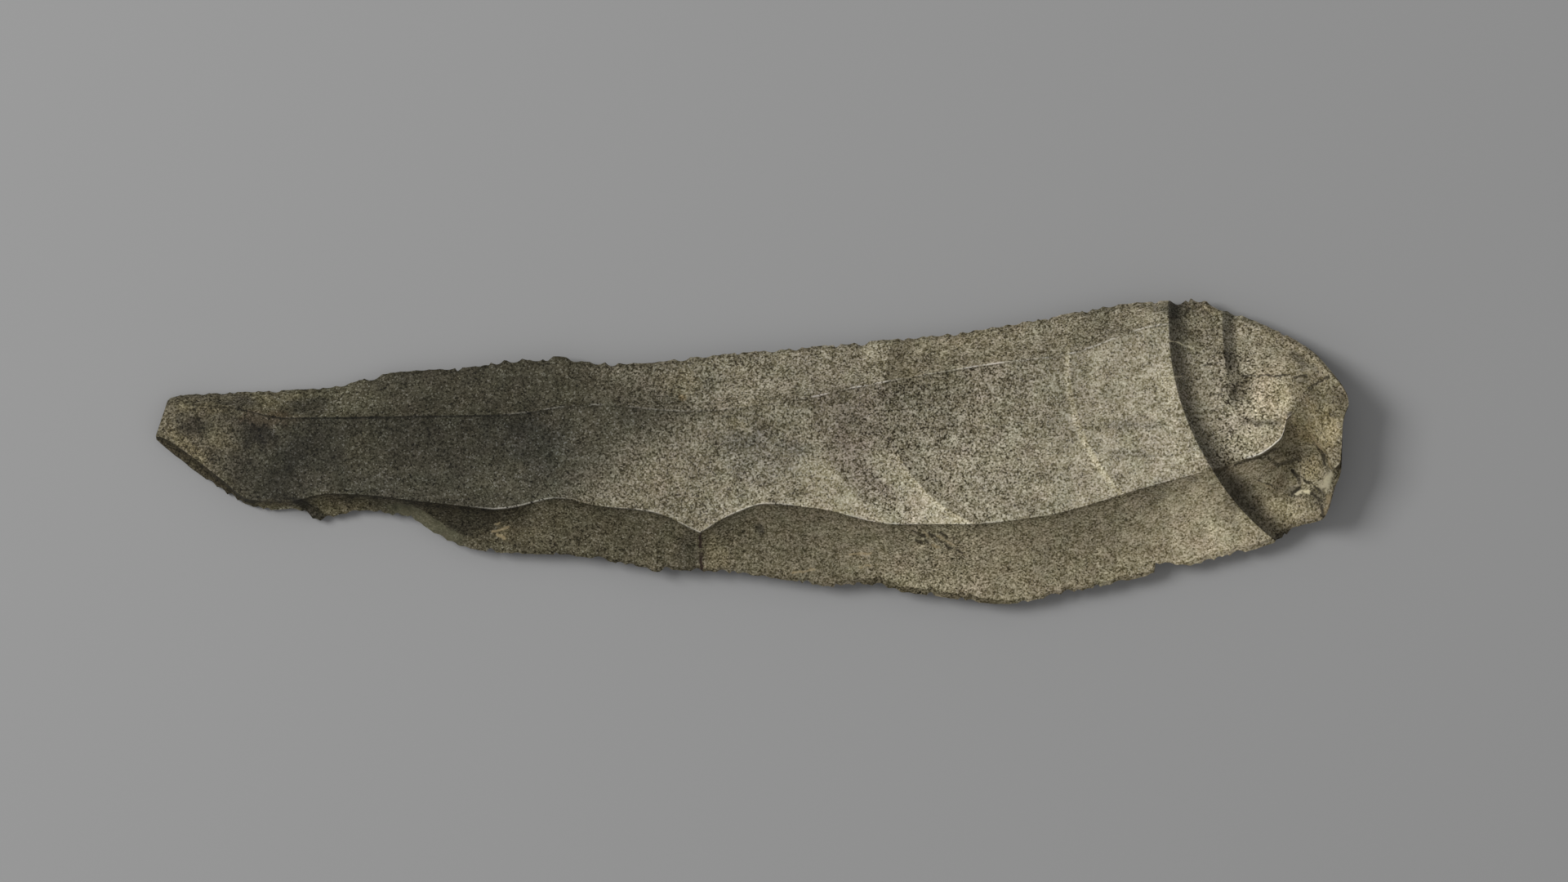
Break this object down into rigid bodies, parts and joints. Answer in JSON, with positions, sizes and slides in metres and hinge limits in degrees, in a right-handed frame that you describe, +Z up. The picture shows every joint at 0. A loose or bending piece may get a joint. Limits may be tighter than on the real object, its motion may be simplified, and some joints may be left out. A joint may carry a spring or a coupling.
{
  "type": "flint blade",
  "caption": "Long flint blade with lengthwise ridges, a struck butt with step scars, nibbled edges and a slanting snapped tip; lies flat on its inner face.",
  "frame": {"origin": "under the middle of the blade's box, on the table it lies on", "axes": "+X along the blade from the snapped tip to the struck butt, +Y across it towards the straighter edge, +Z up"},
  "size_m": [0.17, 0.0436, 0.0116],
  "materials": {
    "flint": "dull granular stone, beige grey with dark specks, dark grey patina towards the tip"
  },
  "bodies": {
    "root": {"flint_blade": "flint"}
  },
  "joints": []
}
